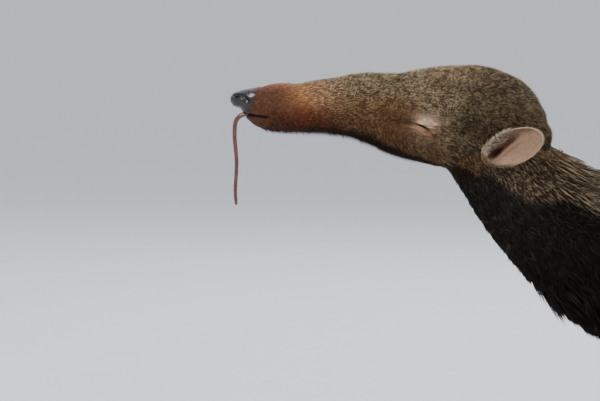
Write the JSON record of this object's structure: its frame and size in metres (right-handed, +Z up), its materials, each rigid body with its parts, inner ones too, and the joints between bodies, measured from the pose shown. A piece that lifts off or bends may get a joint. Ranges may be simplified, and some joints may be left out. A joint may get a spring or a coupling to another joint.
{
  "type": "giant anteater",
  "caption": "Young giant anteater standing on four feet, head raised and level, eyes closed, thin tongue out, with a bushy tail and a low back crest.",
  "frame": {"origin": "on the floor, under the middle of the whole animal's box", "axes": "+Z up, the snout points along -X and the tail along +X, the left side at -Y"},
  "size_m": [1.2724, 0.2418, 0.4042],
  "materials": {
    "head_coat": "short grizzled fur, dark brown with pale tips, thin and reddish on the snout",
    "neck_coat": "grizzled fur over a dark throat",
    "body_coat": "coarse grizzled hair with a black shoulder band edged in cream",
    "tail_coat": "long coarse hair, dark brown with pale tips",
    "pale_leg_coat": "cream to tan hair",
    "dark_leg_coat": "dark brown hair",
    "ear_skin": "thin bare skin with fine pale hairs",
    "eye": "wet and dark",
    "nose_skin": "bare, black and moist",
    "tongue": "wet dark red-brown",
    "claw_horn": "semi-gloss orange-brown horn"
  },
  "bodies": {
    "root": {"ear_left": "ear_skin", "ear_right": "ear_skin", "eye_left": "eye", "eye_right": "eye", "fore_claw_left_1": "claw_horn", "fore_claw_left_2": "claw_horn", "fore_claw_left_3": "claw_horn", "fore_claw_left_4": "claw_horn", "fore_claw_right_1": "claw_horn", "fore_claw_right_2": "claw_horn", "fore_claw_right_3": "claw_horn", "fore_claw_right_4": "claw_horn", "forearm_left": "pale_leg_coat", "forearm_right": "pale_leg_coat", "forefoot_left": "dark_leg_coat", "forefoot_right": "dark_leg_coat", "head": "head_coat", "hind_claw_left_1": "claw_horn", "hind_claw_left_2": "claw_horn", "hind_claw_left_3": "claw_horn", "hind_claw_left_4": "claw_horn", "hind_claw_left_5": "claw_horn", "hind_claw_right_1": "claw_horn", "hind_claw_right_2": "claw_horn", "hind_claw_right_3": "claw_horn", "hind_claw_right_4": "claw_horn", "hind_claw_right_5": "claw_horn", "hind_foot_left": "dark_leg_coat", "hind_foot_right": "dark_leg_coat", "neck": "neck_coat", "nose": "nose_skin", "shank_left": "dark_leg_coat", "shank_right": "dark_leg_coat", "tail": "tail_coat", "thigh_left": "dark_leg_coat", "thigh_right": "dark_leg_coat", "tongue": "tongue", "torso": "body_coat", "upper_arm_left": "pale_leg_coat", "upper_arm_right": "pale_leg_coat"}
  },
  "joints": []
}
